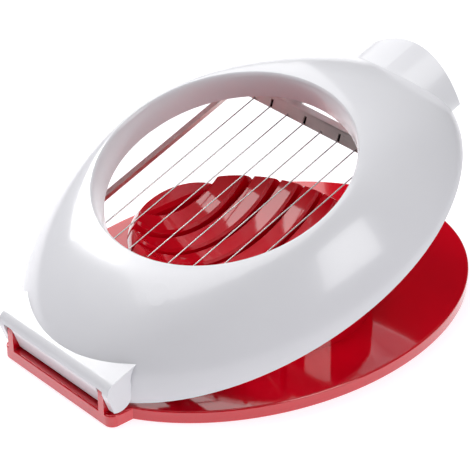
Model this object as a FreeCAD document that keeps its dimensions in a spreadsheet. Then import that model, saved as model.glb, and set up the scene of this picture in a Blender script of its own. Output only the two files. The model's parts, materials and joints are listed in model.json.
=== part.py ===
import FreeCAD
import Part
import math
import os
from FreeCAD import Placement, Rotation, Vector

# Hinged egg slicer: a flat oval base with a ribbed egg cradle, and a domed upper shell that carries
# a steel frame strung with cutting wires. Millimetres, +Z up. The origin is the centre of the base's
# underside, the hinge runs along X at the -Y end, and the thumb tab is at the +Y end.

doc = FreeCAD.newDocument("egg_slicer")
sheet = doc.addObject("Spreadsheet::Sheet", "sizes")

driving_sizes = [
    # base plate and hinge block
    ("plate_width", 83.3), ("plate_length", 107.0), ("plate_thickness", 3.0), ("plate_edge_round", 0.4),
    ("block_width", 37.0), ("block_lead", 0.2), ("block_depth", 9.0), ("block_corner", 2.0),
    # hinge
    ("hinge_setback", 2.15), ("hinge_height", 7.0), ("open_angle", 19.7), ("lug_thickness", 1.8),
    ("lug_inset", 2.2), ("pin_radius", 1.0), ("pin_length", 4.6), ("pin_bore_clearance", 0.05),
    ("running_clearance", 0.3), ("knuckle_radius", 3.5), ("knuckle_top", 4.1), ("knuckle_back", 6.4),
    ("knuckle_round", 2.6), ("apron_recess", 0.4), ("apron_top", 2.6),
    # upper shell, its rim measured from the plate's outline
    ("rim_side_overhang", 1.15), ("rim_near_overhang", 1.1), ("rim_far_setback", 0.3), ("rim_gap", 0.3),
    ("shell_height", 16.7), ("shell_wall", 1.7), ("flank_side", 1.34), ("flank_near", 1.8), ("flank_far", 1.3),
    ("opening_width", 58.6), ("opening_length", 54.7), ("lip_drop", 6.3), ("lip_roll", 1.2),
    ("roof_thickness", 3.0), ("tab_width", 33.0), ("tab_rise", 7.1), ("tab_reach", 3.2), ("tab_bulge", 4.7),
    ("tab_root", 20.0),
    # steel frame and wires
    ("wire_pitch", 5.5), ("wire_radius", 0.15), ("wire_height", 5.55), ("wire_bead_radius", 0.55),
    ("wire_hole_clearance", 0.05), ("rail_span", 54.3), ("rail_length", 63.6), ("rail_top_length", 58.0),
    ("rail_thickness", 0.6), ("rail_foot", 0.32), ("rail_flange", 1.2), ("rail_bend", 0.45),
    ("lip_lean", 39.0), ("lip_height", 2.64), ("lip_low_height", 1.3), ("lip_slot", 0.75),
    ("bar_span", 61.6), ("bar_flange", 1.5), ("bar_thickness", 0.5), ("bar_height", 0.95), ("bar_drop", 0.6),
    ("ear_length", 7.0), ("ear_reach", 4.6), ("ear_place", 15.0),
    ("post_radius", 2.4), ("screw_radius", 1.0), ("screw_length", 6.0), ("screw_head_radius", 1.7),
    ("screw_head_height", 1.1), ("screw_slot", 0.5), ("screw_clearance", 0.05),
    # egg cradle
    ("cradle_width", 57.4), ("cradle_length", 50.8), ("cradle_height", 14.6), ("cradle_floor", 3.4),
    ("cradle_shoulder", 4.2), ("bowl_width", 54.4), ("bowl_length", 48.0), ("wire_slot", 1.0), ("rib_crown", 0.5),
]
wire_count = 10
small = 1e-4

for row, (alias, value) in enumerate(driving_sizes, start=1):
    sheet.set("A%d" % row, alias)
    sheet.set("B%d" % row, "%g" % value)
    sheet.setAlias("B%d" % row, alias)
doc.recompute()


def size(alias):
    return float(getattr(sheet, alias))


def add(kind, name, **expressions):
    item = doc.addObject(kind, name)
    for prop, formula in expressions.items():
        item.setExpression(prop, formula)
    return item


def place(item, x="0", y="0", z="0", axis=None, angle=0):
    if axis:
        item.Placement = Placement(Vector(), Rotation(axis, angle))
    for letter, formula in zip("xyz", (x, y, z)):
        item.setExpression("Placement.Base." + letter, formula)
    return item


def box(name, length, width, height, x, y, z):
    item = add("Part::Box", name, Length=length, Width=width, Height=height)
    return place(item, x, y, z)


def rod(name, radius, height, x, y, z, along):
    item = add("Part::Cylinder", name, Radius=radius, Height=height)
    turns = {"x": (Vector(0, 1, 0), 90), "y": (Vector(1, 0, 0), -90), "z": (None, 0)}
    axis, angle = turns[along]
    return place(item, x, y, z, axis, angle)


def fuse(name, items):
    item = doc.addObject("Part::MultiFuse", name)
    item.Shapes = items
    return item


def cut(name, base, tool):
    item = doc.addObject("Part::Cut", name)
    item.Base = base
    item.Tool = tool
    return item


def feature(name, shape):
    item = doc.addObject("Part::Feature", name)
    item.Shape = shape
    return item


# Shared reference values, all worked out from the sheet
hinge_y = "(sizes.hinge_setback - sizes.plate_length / 2)"
axis_y = size("hinge_setback") - size("plate_length") / 2
axis_z = size("hinge_height")
rim_z = size("plate_thickness") + size("rim_gap")
crest_z = rim_z + size("shell_height")
rim_side = size("plate_width") / 2 + size("rim_side_overhang")
rim_near = size("plate_length") / 2 + size("rim_near_overhang")
rim_far = size("plate_length") / 2 - size("rim_far_setback")
hinge_axis = Vector(1, 0, 0)
opened = Placement(Vector(), Rotation(hinge_axis, size("open_angle")), Vector(0, axis_y, axis_z))


# Closed oval at one height: half width, half length towards the hinge and towards the tab
def oval(half_width, near, far, height, points=32):
    ring = []
    for step in range(points):
        angle = 2 * math.pi * step / points
        reach = far if math.sin(angle) > 0 else near
        ring.append(Vector(half_width * math.cos(angle), reach * math.sin(angle), height))
    curve = Part.BSplineCurve()
    curve.interpolate(Points=ring, PeriodicFlag=True)
    return Part.Wire([curve.toShape()])


def loft(rings):
    return Part.makeLoft(rings, True, False)


def round_edges(name, base, radius, wanted):
    doc.recompute()
    item = doc.addObject("Part::Fillet", name)
    item.Base = base
    item.Edges = [(number, size(radius), size(radius))
                  for number, edge in enumerate(base.Shape.Edges, start=1) if wanted(edge.BoundBox)]
    return item


# Base plate with the straight block that carries the hinge lugs, their edges rounded together
def make_plate():
    outline = add("Part::Ellipse", "plate_outline",
                  MajorRadius="sizes.plate_length / 2", MinorRadius="sizes.plate_width / 2")
    place(outline, axis=Vector(0, 0, 1), angle=90)
    slab = doc.addObject("Part::Extrusion", "plate_slab")
    slab.Base = outline
    slab.DirMode = "Normal"
    slab.Solid = True
    slab.setExpression("LengthFwd", "sizes.plate_thickness")
    block = box("block_blank", "sizes.block_width", "sizes.block_depth", "sizes.plate_thickness",
                "-sizes.block_width / 2", "-sizes.plate_length / 2 - sizes.block_lead", "0")
    front = -size("plate_length") / 2 - size("block_lead")
    corners = round_edges("hinge_block", block, "block_corner",
                          lambda box: box.ZLength > small and box.YMax < front + small)
    blank = fuse("plate_blank", [slab, corners])
    blank.Refine = True
    return round_edges("plate", blank, "plate_edge_round", lambda box: box.ZLength < small)


def make_lugs():
    radius = "(sizes.hinge_setback + sizes.block_lead)"
    lugs = []
    for side, start in (("left", "-sizes.block_width / 2 + sizes.lug_inset"),
                        ("right", "sizes.block_width / 2 - sizes.lug_inset - sizes.lug_thickness")):
        stem = box("lug_stem_" + side, "sizes.lug_thickness", "2 * " + radius,
                   "sizes.hinge_height - sizes.plate_thickness / 2",
                   start, hinge_y + " - " + radius, "sizes.plate_thickness / 2")
        eye = rod("lug_eye_" + side, radius, "sizes.lug_thickness", start, hinge_y, "sizes.hinge_height", "x")
        hole = rod("lug_hole_" + side, "sizes.pin_radius", "sizes.lug_thickness",
                   start, hinge_y, "sizes.hinge_height", "x")
        lugs.append(cut("lug_" + side, fuse("lug_blank_" + side, [stem, eye]), hole))
    return lugs


# Egg cradle: a low oval mound, hollowed to an egg's shape by ribs that stand between the wires
def make_cradle():
    top = size("plate_thickness")
    rim = top + size("cradle_height")
    half_width = size("cradle_width") / 2
    half_length = size("cradle_length") / 2
    shoulder = size("cradle_shoulder")
    rings = [oval(half_width, half_length, half_length, 0.5 * top)]
    for turn in range(0, 91, 15):
        angle = math.radians(turn)
        inset = shoulder * (1 - math.cos(angle))
        height = rim - shoulder + shoulder * math.sin(angle)
        rings.append(oval(half_width - inset, half_length - inset, half_length - inset, height))
    mound = loft(rings[:2]).fuse(loft(rings[1:]))

    depth = size("cradle_height") - size("cradle_floor")
    bend = (size("bowl_length") ** 2 / 4 + depth ** 2) / (2 * depth)
    half_rib = (size("wire_pitch") - size("wire_slot")) / 2
    down = Vector(0, 0, -(bend + half_length))

    def hollow(x):
        return math.sqrt(max(1 - (2 * x / size("bowl_width")) ** 2, 0))

    def crest_point(x, sink):
        return Vector(x, 0, rim - depth * hollow(x) - sink)

    # Each crest runs straight across its rib, with both edges broken
    ribs = []
    edge = size("rib_crown")
    for index in range(wire_count + 1):
        middle = (index - wire_count / 2) * size("wire_pitch")
        left = middle - half_rib
        right = middle + half_rib
        crown = crest_point(middle, 0)
        crest = [crest_point(left, edge), crest_point(left + edge, 0),
                 crest_point(right - edge, 0), crest_point(right, edge)]
        section = Part.Face(Part.makePolygon(crest + [crest[-1] + down, crest[0] + down, crest[0]]))
        if hollow(middle) > 0:
            piece = section.revolve(crown + Vector(0, 0, bend * hollow(middle)), hinge_axis, 360)
        else:
            section.translate(Vector(0, -half_length, 0))
            piece = section.extrude(Vector(0, 2 * half_length, 0))
        ribs.append(mound.common(piece))
    return feature("cradle_ribs", Part.makeCompound(ribs))


# Dome level: the share of the flank's run that is left at a share of its height
def flank(height_share, fullness):
    return (1 - height_share ** fullness) ** (1 / fullness)


def dome_rings(shares, inset, base_drop=0):
    roll = size("lip_roll")
    crest_x = size("opening_width") / 2 + roll
    crest_y = size("opening_length") / 2 + roll
    runs = [(rim_side, crest_x, size("flank_side")), (rim_near, crest_y, size("flank_near")),
            (rim_far, crest_y, size("flank_far"))]
    rings = []
    for share in shares:
        reach = [crest + (rim - crest) * flank(share, fullness) - inset for rim, crest, fullness in runs]
        rings.append(oval(*reach, rim_z + share * size("shell_height")))
        if base_drop and share == 0:
            rings.insert(0, oval(*reach, rim_z - base_drop))
    return rings


# Vaulted thumb tab: an arched cross-section, cut to a bulging outline in plan
def tab_solid(inset, drop):
    half = size("tab_width") / 2
    rise = size("tab_rise")
    radius = (half ** 2 + rise ** 2) / (2 * rise)
    start = rim_far - size("tab_root")
    corner = rim_far + size("tab_reach") - size("tab_bulge") - inset
    tip = corner + size("tab_bulge")
    vault = Part.makeCylinder(radius - inset, 2 * tip, Vector(0, 0, rim_z + rise - radius), Vector(0, 1, 0))
    base = rim_z - drop
    bulge = Part.Arc(Vector(half, corner, base), Vector(0, tip, base), Vector(-half, corner, base)).toShape()
    back = [Part.makeLine(Vector(-half, corner, base), Vector(-half, start, base)),
            Part.makeLine(Vector(-half, start, base), Vector(half, start, base)),
            Part.makeLine(Vector(half, start, base), Vector(half, corner, base))]
    plan = Part.Face(Part.Wire([bulge] + back)).extrude(Vector(0, 0, rise + drop + 1))
    return vault.common(plan)


# Hinge knuckle in the closed pose: round underneath, flat on top, flared into the dome behind
def knuckle_solid():
    half = size("block_width") / 2
    radius = size("knuckle_radius")
    top = size("knuckle_top")
    round_edge = size("knuckle_round")
    front = -(size("hinge_setback") + size("block_lead"))
    heel = -math.sqrt(radius ** 2 - front ** 2)

    def at(y, z):
        return Vector(-half, axis_y + y, axis_z + z)

    bend = round_edge * (1 - math.sqrt(0.5))
    edges = [
        Part.Arc(at(radius, 0), at(0, -radius), at(front, heel)).toShape(),
        Part.makeLine(at(front, heel), at(front, top - round_edge)),
        Part.Arc(at(front, top - round_edge), at(front + bend, top - bend), at(front + round_edge, top)).toShape(),
        Part.makeLine(at(front + round_edge, top), at(size("knuckle_back"), top)),
        Part.Arc(at(size("knuckle_back"), top), at(radius + 0.2 * (size("knuckle_back") - radius), 0.5 * top),
                 at(radius, 0)).toShape(),
    ]
    return Part.Face(Part.Wire(edges)).extrude(Vector(2 * half, 0, 0))


# Room for the lugs to swing through the knuckle from below to the front
def lug_slots():
    clear = size("running_clearance")
    eye = size("hinge_setback") + size("block_lead") + clear
    width = size("lug_thickness") + 2 * clear
    inner = size("block_width") / 2 - size("lug_inset") - size("lug_thickness") - clear
    far = 2 * size("knuckle_back")
    slots = []
    for start in (inner, -inner - width):
        ring = Part.makeCylinder(eye, width, Vector(start, axis_y, axis_z), hinge_axis)
        below = Part.makeBox(width, eye + far, far, Vector(start, axis_y - far, axis_z - far))
        front = Part.makeBox(width, far, eye + far, Vector(start, axis_y - far, axis_z - far))
        slots += [ring, below, front]
    return slots


# The flat apron between the lugs lies a little behind the knuckle's round front
def apron_cut():
    half = size("block_width") / 2 - size("lug_inset") - size("lug_thickness") / 2
    front = axis_y - size("hinge_setback") - size("block_lead")
    depth = size("knuckle_radius") + size("apron_recess")
    return Part.makeBox(2 * half, depth, size("knuckle_radius") + size("apron_top"),
                        Vector(-half, front - size("knuckle_radius"), axis_z - size("knuckle_radius")))


def pin_bores():
    radius = size("pin_radius") + size("pin_bore_clearance")
    outer = size("block_width") / 2 - size("lug_inset") - size("lug_thickness") / 2
    length = size("pin_length") + 2 * size("running_clearance")
    return [Part.makeCylinder(radius, length, Vector(side * outer - length / 2, axis_y, axis_z), hinge_axis)
            for side in (-1, 1)]


# Rail section: a lip that leans back from its lower front edge, then a level flange behind the bend
rail_y = "(sizes.rail_span / 2)"
foot = "(sizes.wire_height - sizes.rail_foot)"
lean_sin = "sin(sizes.lip_lean)"
lean_cos = "cos(sizes.lip_lean)"
bend_y = "(%s + sizes.lip_height * %s + sizes.rail_thickness * %s)" % (rail_y, lean_sin, lean_cos)
bend_z = "(%s + sizes.lip_height * %s - sizes.rail_thickness * %s)" % (foot, lean_cos, lean_sin)
mitre = "sizes.rail_thickness * tan(45 - sizes.lip_lean / 2)"
lean = math.radians(size("lip_lean"))
flange_y = size("rail_span") / 2 + size("lip_height") * math.sin(lean) + size("rail_thickness") * math.cos(lean)
fold_y = flange_y - size("rail_thickness") * math.tan(math.pi / 4 - lean / 2)
ear_under = (size("wire_height") - size("rail_foot") + size("lip_height") * math.cos(lean)
             - size("rail_thickness") * math.sin(lean))
ear_top = ear_under + size("rail_thickness")
ear_y = flange_y + size("rail_flange") + size("ear_reach") / 2
screw_places = [(side * size("ear_place"), end * ear_y) for side in (-1, 1) for end in (-1, 1)]


def make_shell():
    wall = size("shell_wall")
    drop = 2.0 * wall
    shares = [0, 0.12, 0.26, 0.42, 0.58, 0.72, 0.84, 0.93, 0.98, 1]
    outer = loft(dome_rings(shares, 0))
    roof = 1 - size("roof_thickness") / size("shell_height")
    inner = loft(dome_rings([share * roof for share in shares], wall, drop))
    lip_z = crest_z - size("lip_drop")
    half_width = size("opening_width") / 2
    half_length = size("opening_length") / 2
    collar = loft([oval(half_width + wall, half_length + wall, half_length + wall, height)
                   for height in (lip_z, crest_z)])
    hollow = inner.cut(collar).fuse(tab_solid(wall, drop))
    rings = [oval(half_width, half_length, half_length, rim_z - drop)]
    for turn in range(0, 91, 15):
        angle = math.radians(turn)
        grow = size("lip_roll") * (1 - math.cos(angle))
        rings.append(oval(half_width + grow, half_length + grow, half_length + grow,
                          lip_z + size("lip_drop") * math.sin(angle)))
    mouth = loft(rings[:2]).fuse(loft(rings[1:]))
    shell = outer.fuse(tab_solid(0, 0)).cut(hollow).cut(mouth)

    front = Part.makeBox(size("block_width"), size("plate_length"), axis_z + size("knuckle_top"),
                         Vector(-size("block_width") / 2, axis_y + 1 - size("plate_length"), 0))
    posts = []
    pilots = []
    for x, y in screw_places:
        post = Part.makeCylinder(size("post_radius"), size("shell_height"), Vector(x, y, ear_top))
        posts.append(post.common(outer))
        pilots.append(Part.makeCylinder(size("screw_radius") + size("screw_clearance"),
                                        size("screw_length"), Vector(x, y, ear_top)))
    shell = shell.cut(front).fuse([knuckle_solid()] + posts)
    shell = shell.cut(lug_slots() + [apron_cut()] + pin_bores() + pilots)
    return feature("upper_shell", shell)


# Box that leans with the rail's lip, moved forwards out of the lip's face and up along it
def leaning(name, length, depth, height, x, forward="0", up="0"):
    item = add("Part::Box", name, Length=length, Width=depth, Height=height)
    y = "%s - %s * %s + %s * %s" % (rail_y, forward, lean_cos, up, lean_sin)
    z = "%s + %s * %s + %s * %s" % (foot, forward, lean_sin, up, lean_cos)
    return place(item, x, y, z, hinge_axis, -size("lip_lean"))


# Steel rail across one end of the frame, with wire holes, slots in the lip and ears for two screws
def make_rail(name, side):
    low = leaning(name + "_low", "sizes.rail_length", "sizes.rail_thickness", "sizes.lip_low_height",
                  "-sizes.rail_length / 2")
    lip = leaning(name + "_lip", "sizes.rail_top_length", "sizes.rail_thickness", "sizes.lip_height + " + mitre,
                  "-sizes.rail_top_length / 2")
    flange = box(name + "_flange", "sizes.rail_top_length", "sizes.rail_flange + " + mitre, "sizes.rail_thickness",
                 "-sizes.rail_top_length / 2", bend_y + " - " + mitre, bend_z)
    strip = fuse(name + "_strip", [low, lip, flange])
    strip.Refine = True
    bent = round_edges(name + "_bent", strip, "rail_bend",
                       lambda box: box.XLength > size("ear_place") and abs(box.YMax - fold_y) < small)
    ears = []
    holes = []
    for end, sign in (("left", "-"), ("right", "")):
        middle = sign + "sizes.ear_place"
        ears.append(box(name + "_ear_" + end, "sizes.ear_length", "sizes.rail_flange + sizes.ear_reach",
                        "sizes.rail_thickness", middle + " - sizes.ear_length / 2", bend_y, bend_z))
        holes.append(rod(name + "_screw_hole_" + end, "sizes.screw_radius + sizes.screw_clearance",
                         "3 * sizes.rail_thickness", middle, bend_y + " + sizes.rail_flange + sizes.ear_reach / 2",
                         bend_z + " - sizes.rail_thickness", "z"))
    for index in range(wire_count):
        middle = "%g * sizes.wire_pitch" % (index - (wire_count - 1) / 2)
        holes.append(rod("%s_hole_%d" % (name, index), "sizes.wire_radius + sizes.wire_hole_clearance",
                         "6 * sizes.rail_thickness", middle, rail_y + " - 2 * sizes.rail_thickness",
                         "sizes.wire_height", "y"))
        if index % 2:
            holes.append(leaning("%s_slot_%d" % (name, index), "sizes.lip_slot", "3 * sizes.rail_thickness",
                                 "0.6 * sizes.lip_height", middle + " - sizes.lip_slot / 2",
                                 "sizes.rail_thickness", "sizes.rail_foot / " + lean_cos))
    rail = cut(name, fuse(name + "_blank", [bent] + ears), fuse(name + "_holes", holes))
    if side < 0:
        rail.Placement = Placement(Vector(), Rotation(Vector(0, 0, 1), 180))
    return rail


# Steel bar along one side of the frame: level flange, short inner leg, ends fitted to the rails' lips
def make_bar(name, side):
    length = "(sizes.rail_span + 4 * sizes.rail_thickness)"
    inner = "sizes.bar_span / 2"
    under = "(sizes.wire_height - sizes.bar_drop)"
    flange = box(name + "_flange", "sizes.bar_flange", length, "sizes.bar_thickness", inner,
                 "-" + length + " / 2", under + " + sizes.bar_height - sizes.bar_thickness")
    leg = box(name + "_leg", "sizes.bar_thickness", length, "sizes.bar_height", inner,
              "-" + length + " / 2", under)
    far = leaning(name + "_far_seat", "sizes.bar_span", "sizes.bar_span", "sizes.bar_span", "0",
                  "0", "-sizes.bar_span / 2")
    near = doc.addObject("Part::Mirroring", name + "_near_seat")
    near.Source = far
    near.Normal = Vector(0, 1, 0)
    bar = cut(name, fuse(name + "_blank", [flange, leg]), fuse(name + "_seats", [far, near]))
    if side < 0:
        bar.Placement = Placement(Vector(), Rotation(Vector(0, 0, 1), 180))
    return bar


# One cutting wire with a swaged bead behind each rail
def make_wire(number):
    name = "cutting_wire_%02d" % number
    middle = "%g * sizes.wire_pitch" % (number - 1 - (wire_count - 1) / 2)
    behind = "(sizes.rail_thickness + sizes.wire_bead_radius + sizes.rail_foot * %s)" % lean_sin
    seat = "(%s + %s / %s)" % (rail_y, behind, lean_cos)
    strand = rod(name + "_strand", "sizes.wire_radius", "2 * " + seat, middle, "-" + seat, "sizes.wire_height", "y")
    beads = []
    for end, sign in (("near", "-"), ("far", "")):
        bead = add("Part::Sphere", name + "_bead_" + end, Radius="sizes.wire_bead_radius")
        beads.append(place(bead, middle, sign + seat, "sizes.wire_height"))
    return fuse(name, [strand] + beads)


# Self-tapping screws that hold the frame's ears to the shell's posts, as one group
def make_screws():
    screws = []
    for x, y in screw_places:
        shank = Part.makeCylinder(size("screw_radius"), size("screw_length"), Vector(x, y, ear_under))
        head = Part.makeCylinder(size("screw_head_radius"), size("screw_head_height"),
                                 Vector(x, y, ear_under - size("screw_head_height")))
        drive = Part.makeBox(2 * size("screw_head_radius"), size("screw_slot"), size("screw_head_height") / 2,
                             Vector(x - size("screw_head_radius"), y - size("screw_slot") / 2,
                                    ear_under - size("screw_head_height")))
        screws.append(shank.fuse(head).cut(drive))
    return feature("frame_screws", Part.makeCompound(screws))


def make_pin(side, sign):
    middle = "(sizes.block_width / 2 - sizes.lug_inset - sizes.lug_thickness / 2)"
    return rod("hinge_pin_" + side, "sizes.pin_radius", "sizes.pin_length",
               sign + middle + " - sizes.pin_length / 2", hinge_y, "sizes.hinge_height", "x")


base = fuse("base", [make_plate(), make_cradle()] + make_lugs())
base.Refine = True
fixed = [base, make_pin("left", "-"), make_pin("right", "")]

moving = [make_shell(), make_rail("far_rail", 1), make_rail("near_rail", -1),
          make_bar("right_side_bar", 1), make_bar("left_side_bar", -1), make_screws()]
for number in range(1, wire_count + 1):
    moving.append(make_wire(number))
doc.recompute()

for item in moving:
    item.Placement = opened.multiply(item.Placement)
doc.recompute()

# Nothing is written unless every object is sound
for item in doc.Objects:
    if "Invalid" in item.State or "Error" in item.State:
        raise RuntimeError("%s did not build" % item.Name)

os.makedirs("parts", exist_ok=True)
for item in fixed + moving:
    item.Label = item.Name
    shape = item.Shape
    if shape.isNull() or not shape.isValid():
        raise RuntimeError("%s is not a sound solid" % item.Label)
    expected = len(screw_places) if item.Label == "frame_screws" else 1
    if len(shape.Solids) != expected:
        raise RuntimeError("%s has %d solids" % (item.Label, len(shape.Solids)))
    print("%-20s %2d solid %10.2f mm3" % (item.Label, len(shape.Solids), shape.Volume))
    shape.exportStep("parts/%s.step" % item.Label)
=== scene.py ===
import bpy
import bmesh
import json
import math
from mathutils import Matrix, Vector


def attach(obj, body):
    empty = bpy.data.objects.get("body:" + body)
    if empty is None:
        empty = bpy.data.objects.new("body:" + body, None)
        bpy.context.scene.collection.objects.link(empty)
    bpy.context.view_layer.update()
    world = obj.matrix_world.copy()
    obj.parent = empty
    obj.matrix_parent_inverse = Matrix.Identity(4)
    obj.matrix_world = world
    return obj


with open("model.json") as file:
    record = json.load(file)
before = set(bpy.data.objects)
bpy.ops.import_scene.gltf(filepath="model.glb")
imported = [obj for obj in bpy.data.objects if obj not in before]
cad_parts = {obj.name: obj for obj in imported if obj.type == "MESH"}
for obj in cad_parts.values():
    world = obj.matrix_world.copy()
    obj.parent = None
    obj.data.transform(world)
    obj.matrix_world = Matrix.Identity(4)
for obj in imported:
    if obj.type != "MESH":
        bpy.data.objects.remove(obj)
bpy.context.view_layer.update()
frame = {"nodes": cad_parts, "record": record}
print("frame loaded:", len(frame["nodes"]), "nodes")


class Sock:
    # wraps one output socket, so that shader maths reads as plain expressions
    def __init__(self, tree, socket):
        self.tree = tree
        self.socket = socket

    def maths(self, operation, first, second):
        return makeNode(self.tree, "ShaderNodeMath", {"operation": operation}, {0: first, 1: second})

    def __add__(self, other):
        return self.maths("ADD", self, other)

    def __radd__(self, other):
        return self.maths("ADD", other, self)

    def __mul__(self, other):
        return self.maths("MULTIPLY", self, other)

    def __rmul__(self, other):
        return self.maths("MULTIPLY", other, self)


def feed(tree, node, inputs):
    for name, value in inputs.items():
        if isinstance(value, Sock):
            tree.links.new(value.socket, node.inputs[name])
        else:
            node.inputs[name].default_value = value


def makeNode(tree, kind, settings=None, inputs=None, output=0):
    node = tree.nodes.new(kind)
    for name, value in (settings or {}).items():
        setattr(node, name, value)
    feed(tree, node, inputs or {})
    return Sock(tree, node.outputs[output])


def startMaterial(name):
    material = bpy.data.materials.new(name)
    material.use_nodes = True
    tree = material.node_tree
    return material, tree, tree.nodes["Principled BSDF"]


def addMesh(name, mesh, material):
    data = bpy.data.meshes.new(name)
    mesh.to_mesh(data)
    mesh.free()
    data.materials.append(material)
    piece = bpy.data.objects.new(name, data)
    bpy.context.scene.collection.objects.link(piece)
    return piece


# camera, fitted to the photograph's view
camera = {
    "azimuth": 49.46,    # degrees round from the hinge side
    "elevation": 30.97,
    "roll": -0.73,
    "lens": 176.42,      # millimetres, as is the sensor's width
    "sensor": 36,
    "nearest": 0.01,     # metres, as are the rest
    "distance": 0.50889,
    "slide": (0.00501, -0.01331),  # of the target in the picture, right and up
    "target": (0, 0.0021, 0),
}


def addCamera(spec):
    turn, lift, roll = (math.radians(spec[key]) for key in ("azimuth", "elevation", "roll"))
    back = Vector((math.sin(turn) * math.cos(lift), -math.cos(turn) * math.cos(lift), math.sin(lift)))
    level = Vector((math.cos(turn), math.sin(turn), 0))
    upright = back.cross(level)
    right = level * math.cos(roll) + upright * math.sin(roll)
    up = upright * math.cos(roll) - level * math.sin(roll)
    slideRight, slideUp = spec["slide"]
    place = Vector(spec["target"]) + back * spec["distance"] - right * slideRight - up * slideUp
    lens = bpy.data.cameras.new("photoCamera")
    lens.lens = spec["lens"]
    lens.sensor_width = spec["sensor"]
    lens.clip_start = spec["nearest"]
    holder = bpy.data.objects.new("photoCamera", lens)
    holder.matrix_world = Matrix.Translation(place) @ Matrix((right, up, back)).transposed().to_4x4()
    bpy.context.scene.collection.objects.link(holder)
    bpy.context.scene.camera = holder


addCamera(camera)
print("camera placed")


def objectPlace(tree, stretch=(1, 1, 1)):
    place = makeNode(tree, "ShaderNodeTexCoord", output="Object")
    return makeNode(tree, "ShaderNodeMapping", inputs={"Vector": place, "Scale": stretch})


def noise(tree, place, scale, detail, rough):
    return makeNode(tree, "ShaderNodeTexNoise", inputs={
        "Vector": place, "Scale": scale, "Detail": detail, "Roughness": rough}, output="Fac")


def blendColours(tree, share, first, second):
    return makeNode(tree, "ShaderNodeMix", {"data_type": "RGBA"}, {
        "Factor": share, "A": (*first, 1), "B": (*second, 1)}, output="Result")


def bump(tree, height, strength, distance):
    return makeNode(tree, "ShaderNodeBump", inputs={
        "Height": height, "Strength": strength, "Distance": distance}, output="Normal")


def between(share, low, high):
    return share * (high - low) + low


# moulded plastic: even colour with a slight cloud, gloss that varies a little, faint moulding grain
moulding = {
    "cloud": (55.0, 3.0, 0.5),       # scale, detail and roughness of each noise
    "handling": (420.0, 5.0, 0.62),
    "grain": (2600.0, 2.0, 0.5),
    "grainDepth": 0.00002,
    "index": 1.5,
    "coatRoughness": 0.04,
}
shellFinish = {
    "pale": (0.79, 0.79, 0.83), "clear": (0.845, 0.845, 0.88), "gloss": (0.16, 0.26),
    "coat": 0.25, "coatIndex": 1.5, "grain": 0.05,
}
baseFinish = {
    "pale": (0.68, 0.0, 0.010), "clear": (0.79, 0.0, 0.016), "gloss": (0.05, 0.12),
    "coat": 1.0, "coatIndex": 1.62, "grain": 0.03,
}


def mouldedPlastic(name, spec):
    material, tree, shader = startMaterial(name)
    place = objectPlace(tree)
    cloud, handling, grain = (noise(tree, place, *moulding[key]) for key in ("cloud", "handling", "grain"))
    feed(tree, shader, {
        "Base Color": blendColours(tree, cloud, spec["pale"], spec["clear"]),
        "Roughness": between(handling, *spec["gloss"]),
        "Normal": bump(tree, grain, spec["grain"], moulding["grainDepth"]),
        "IOR": moulding["index"],
        "Coat Weight": spec["coat"],
        "Coat Roughness": moulding["coatRoughness"],
        "Coat IOR": spec["coatIndex"],
    })
    return material


# worked steel: lines of the rolling, drawing or turning along one axis, with a brownish tint that varies at
# random
steelWork = {
    "lines": (2400.0, 4.0, 0.6),     # scale, detail and roughness of each noise
    "stain": (260.0, 4.0, 0.5),
    "lineShare": 0.4,                # of the tint, where stain makes the rest
    "lineStrength": 0.10,
    "lineDepth": 0.00001,
}
frameFinish = {
    "dull": (0.60, 0.57, 0.53), "bright": (0.86, 0.84, 0.81), "gloss": (0.22, 0.40), "along": (0.06, 1, 1),
}
wireFinish = {
    "dull": (0.26, 0.25, 0.25), "bright": (0.52, 0.51, 0.50), "gloss": (0.16, 0.30), "along": (1, 0.03, 1),
}
pinFinish = {
    "dull": (0.45, 0.45, 0.46), "bright": (0.66, 0.66, 0.67), "gloss": (0.14, 0.26), "along": (0.08, 1, 1),
}
screwFinish = {
    "dull": (0.40, 0.39, 0.38), "bright": (0.62, 0.61, 0.58), "gloss": (0.20, 0.34), "along": (1, 1, 0.2),
}
# near-black colour for the wire loops: painted shade of the slot's groove, not a darker steel
loopFinishPaintedShade = {
    "dull": (0.012, 0.011, 0.011), "bright": (0.05, 0.047, 0.045), "gloss": (0.30, 0.46),
    "along": (1, 1, 0.2),
}


def workedSteel(name, spec):
    material, tree, shader = startMaterial(name)
    lines = noise(tree, objectPlace(tree, spec["along"]), *steelWork["lines"])
    stain = noise(tree, objectPlace(tree), *steelWork["stain"])
    tint = lines * steelWork["lineShare"] + stain * (1 - steelWork["lineShare"])
    feed(tree, shader, {
        "Base Color": blendColours(tree, tint, spec["dull"], spec["bright"]),
        "Roughness": between(lines, *spec["gloss"]),
        "Normal": bump(tree, lines, steelWork["lineStrength"], steelWork["lineDepth"]),
        "Metallic": 1.0,
    })
    return material


whiteGloss = mouldedPlastic("whiteGloss", shellFinish)
redGloss = mouldedPlastic("redGloss", baseFinish)
frameSteel = workedSteel("rolledSteel", frameFinish)
wireSteel = workedSteel("drawnSteel", wireFinish)
pinSteel = workedSteel("turnedSteel", pinFinish)
screwSteel = workedSteel("screwSteel", screwFinish)
# painted shade: the loops' steel is drawn near-black for the shadow in the lip's grooves
loopSteelPaintedShade = workedSteel("loopSteelPaintedShade", loopFinishPaintedShade)
finishes = {
    "base": redGloss, "upper_shell": whiteGloss, "frame_screws": screwSteel,
    "hinge_pin_left": pinSteel, "hinge_pin_right": pinSteel,
}
for name, node in frame["nodes"].items():
    finish = wireSteel if name.startswith("cutting_wire") else finishes.get(name, frameSteel)
    node.data.materials.clear()
    node.data.materials.append(finish)
print("finishes set on", len(frame["nodes"]), "nodes")
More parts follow.
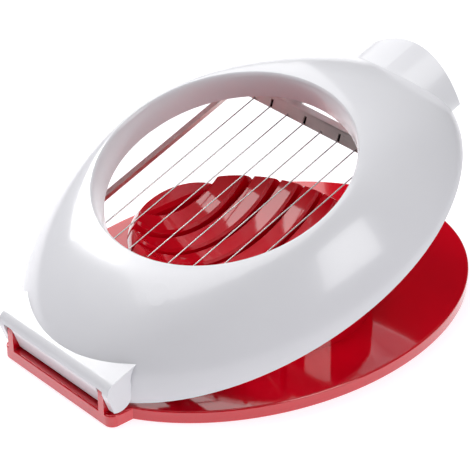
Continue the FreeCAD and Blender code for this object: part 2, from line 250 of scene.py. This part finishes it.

# wire loops: at every second wire the strand turns up through a slot in the rail's lip and over its back;
# they are coloured near-black as painted shade of the groove they lie in, though the wire is the same steel
# as the cutting wires
lidHinge = frame["record"]["behaviour"]["joints"][0]
loops = {
    "pitch": 0.0055, "places": (1, 3, 5, 7, 9), "middle": 4.5,  # wires counted from 0
    "foot": (0.02715, 0.00523),    # lip's lower front edge with the lid closed, along and up
    "rise": (0.629, 0.777),        # up the lip
    "back": (0.777, -0.629),       # through the lip
    "path": (                      # from the foot, up the lip and through it
        (0.0003, 0.0), (0.0006, 0.0002), (0.0010, 0.0003),
        (0.0015, 0.0003), (0.0018, 0.0004), (0.0020, 0.0007),
    ),
    "radius": 0.00034,
    "sides": 14,
}


def loopPoints(spec, across, end):
    foot, rise, back = (Vector((0, *spec[key])) for key in ("foot", "rise", "back"))
    points = []
    for height, depth in spec["path"]:
        point = foot + rise * height + back * depth
        points.append(Vector((across * end, point.y * end, point.z)))
    return points


def ringEdges(ring):
    return {edge for vert in ring for edge in vert.link_edges if edge.other_vert(vert) in ring}


def sweepRound(mesh, points, radius, sides):
    last = len(points) - 1
    rings = []
    for index, point in enumerate(points):
        heading = points[min(index + 1, last)] - points[max(index - 1, 0)]
        seat = Matrix.Translation(point) @ heading.to_track_quat("Z", "X").to_matrix().to_4x4()
        capped = index in (0, last)
        ring = bmesh.ops.create_circle(mesh, cap_ends=capped, segments=sides, radius=radius, matrix=seat)
        rings.append(ring["verts"])
    for first, second in zip(rings, rings[1:]):
        bmesh.ops.bridge_loops(mesh, edges=[*ringEdges(first), *ringEdges(second)])


def addLoops(spec, hinge, opening):
    turn = Matrix.Translation(hinge) @ Matrix.Rotation(opening, 4, "X") @ Matrix.Translation(-hinge)
    mesh = bmesh.new()
    for end in (1, -1):  # the far rail, then the near one
        for place in spec["places"]:
            across = (place - spec["middle"]) * spec["pitch"]
            points = [turn @ point for point in loopPoints(spec, across, end)]
            sweepRound(mesh, points, spec["radius"], spec["sides"])
    bmesh.ops.recalc_face_normals(mesh, faces=mesh.faces[:])
    for face in mesh.faces:
        face.smooth = len(face.verts) == 4  # round sides, flat ends
    # the loops carry the near-black painted-shade steel
    piece = addMesh("wire_loops", mesh, loopSteelPaintedShade)
    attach(piece, "cutting_lid")


addLoops(loops, Vector(lidHinge["pos_m"]), -math.radians(lidHinge["range_deg"][0]))
print("wire loops added")

# studio: pale floor that hardly shows a shadow, soft boxes above, dim surroundings at eye level
studio = {
    "floor": 3.0,
    "floorColour": (0.5, 0.5, 0.5, 1),
    "floorRoughness": 0.9,
    "floorShine": 0.1,
    "floorGlow": 0.78,
    "glowColour": (0.97, 0.955, 1.0, 1),
    "dim": 0.015,                 # brightness of the surroundings
    "ceiling": 0.20,              # brightness of the sky overhead
    "ceilingEdge": (0.56, 0.78),  # heights between which the ceiling fades in
    "lean": (-0.4, 0.35),         # how the ceiling's brightness changes along X and Y
    "boxes": (
        # name, place, length and width, watts
        ("keyBox", (-0.62, -0.04, 0.50), (0.26, 0.26), 2.5),
        ("topBox", (-0.16, -0.12, 0.86), (0.60, 0.90), 4.1),
        ("leftCard", (-0.25, 0.128, 0.17), (0.20, 0.24), 0.19),
        ("sideBox", (0.62, 0.15, 0.45), (0.35, 0.35), 1.7),
    ),
    "aim": (0, 0, 0.02),
}


def addFloor(spec):
    paper, tree, shader = startMaterial("floorPaper")
    feed(tree, shader, {
        "Base Color": spec["floorColour"],
        "Roughness": spec["floorRoughness"],
        "Specular IOR Level": spec["floorShine"],
        "Emission Color": spec["glowColour"],
        "Emission Strength": spec["floorGlow"],
    })
    sheet = bmesh.new()
    bmesh.ops.create_grid(sheet, x_segments=1, y_segments=1, size=spec["floor"])
    floor = addMesh("floor", sheet, paper)


def addSky(spec):
    world = bpy.data.worlds.new("studio")
    bpy.context.scene.world = world
    world.use_nodes = True
    tree = world.node_tree
    direction = makeNode(tree, "ShaderNodeTexCoord", output="Generated")
    across, along, height = (
        makeNode(tree, "ShaderNodeSeparateXYZ", inputs={"Vector": direction}, output=axis) for axis in "XYZ")
    low, high = spec["ceilingEdge"]
    overhead = makeNode(tree, "ShaderNodeMapRange", {"interpolation_type": "SMOOTHSTEP"}, {
        "Value": height, "From Min": low, "From Max": high}, output="Result")
    leanAcross, leanAlong = spec["lean"]
    lean = 1 + across * leanAcross + along * leanAlong
    feed(tree, tree.nodes["Background"], {
        "Color": (1, 1, 1, 1),
        "Strength": overhead * lean * spec["ceiling"] + spec["dim"],
    })


def addBox(name, place, size, watts, aim):
    lamp = bpy.data.lights.new(name, "AREA")
    lamp.shape = "RECTANGLE"
    lamp.size, lamp.size_y = size
    lamp.energy = watts
    holder = bpy.data.objects.new(name, lamp)
    toward = Vector(aim) - Vector(place)
    holder.matrix_world = Matrix.Translation(place) @ toward.to_track_quat("-Z", "Y").to_matrix().to_4x4()
    bpy.context.scene.collection.objects.link(holder)


addFloor(studio)
addSky(studio)
for softBox in studio["boxes"]:
    addBox(*softBox, studio["aim"])
bpy.context.scene.view_settings.view_transform = "Standard"
print("studio lit")
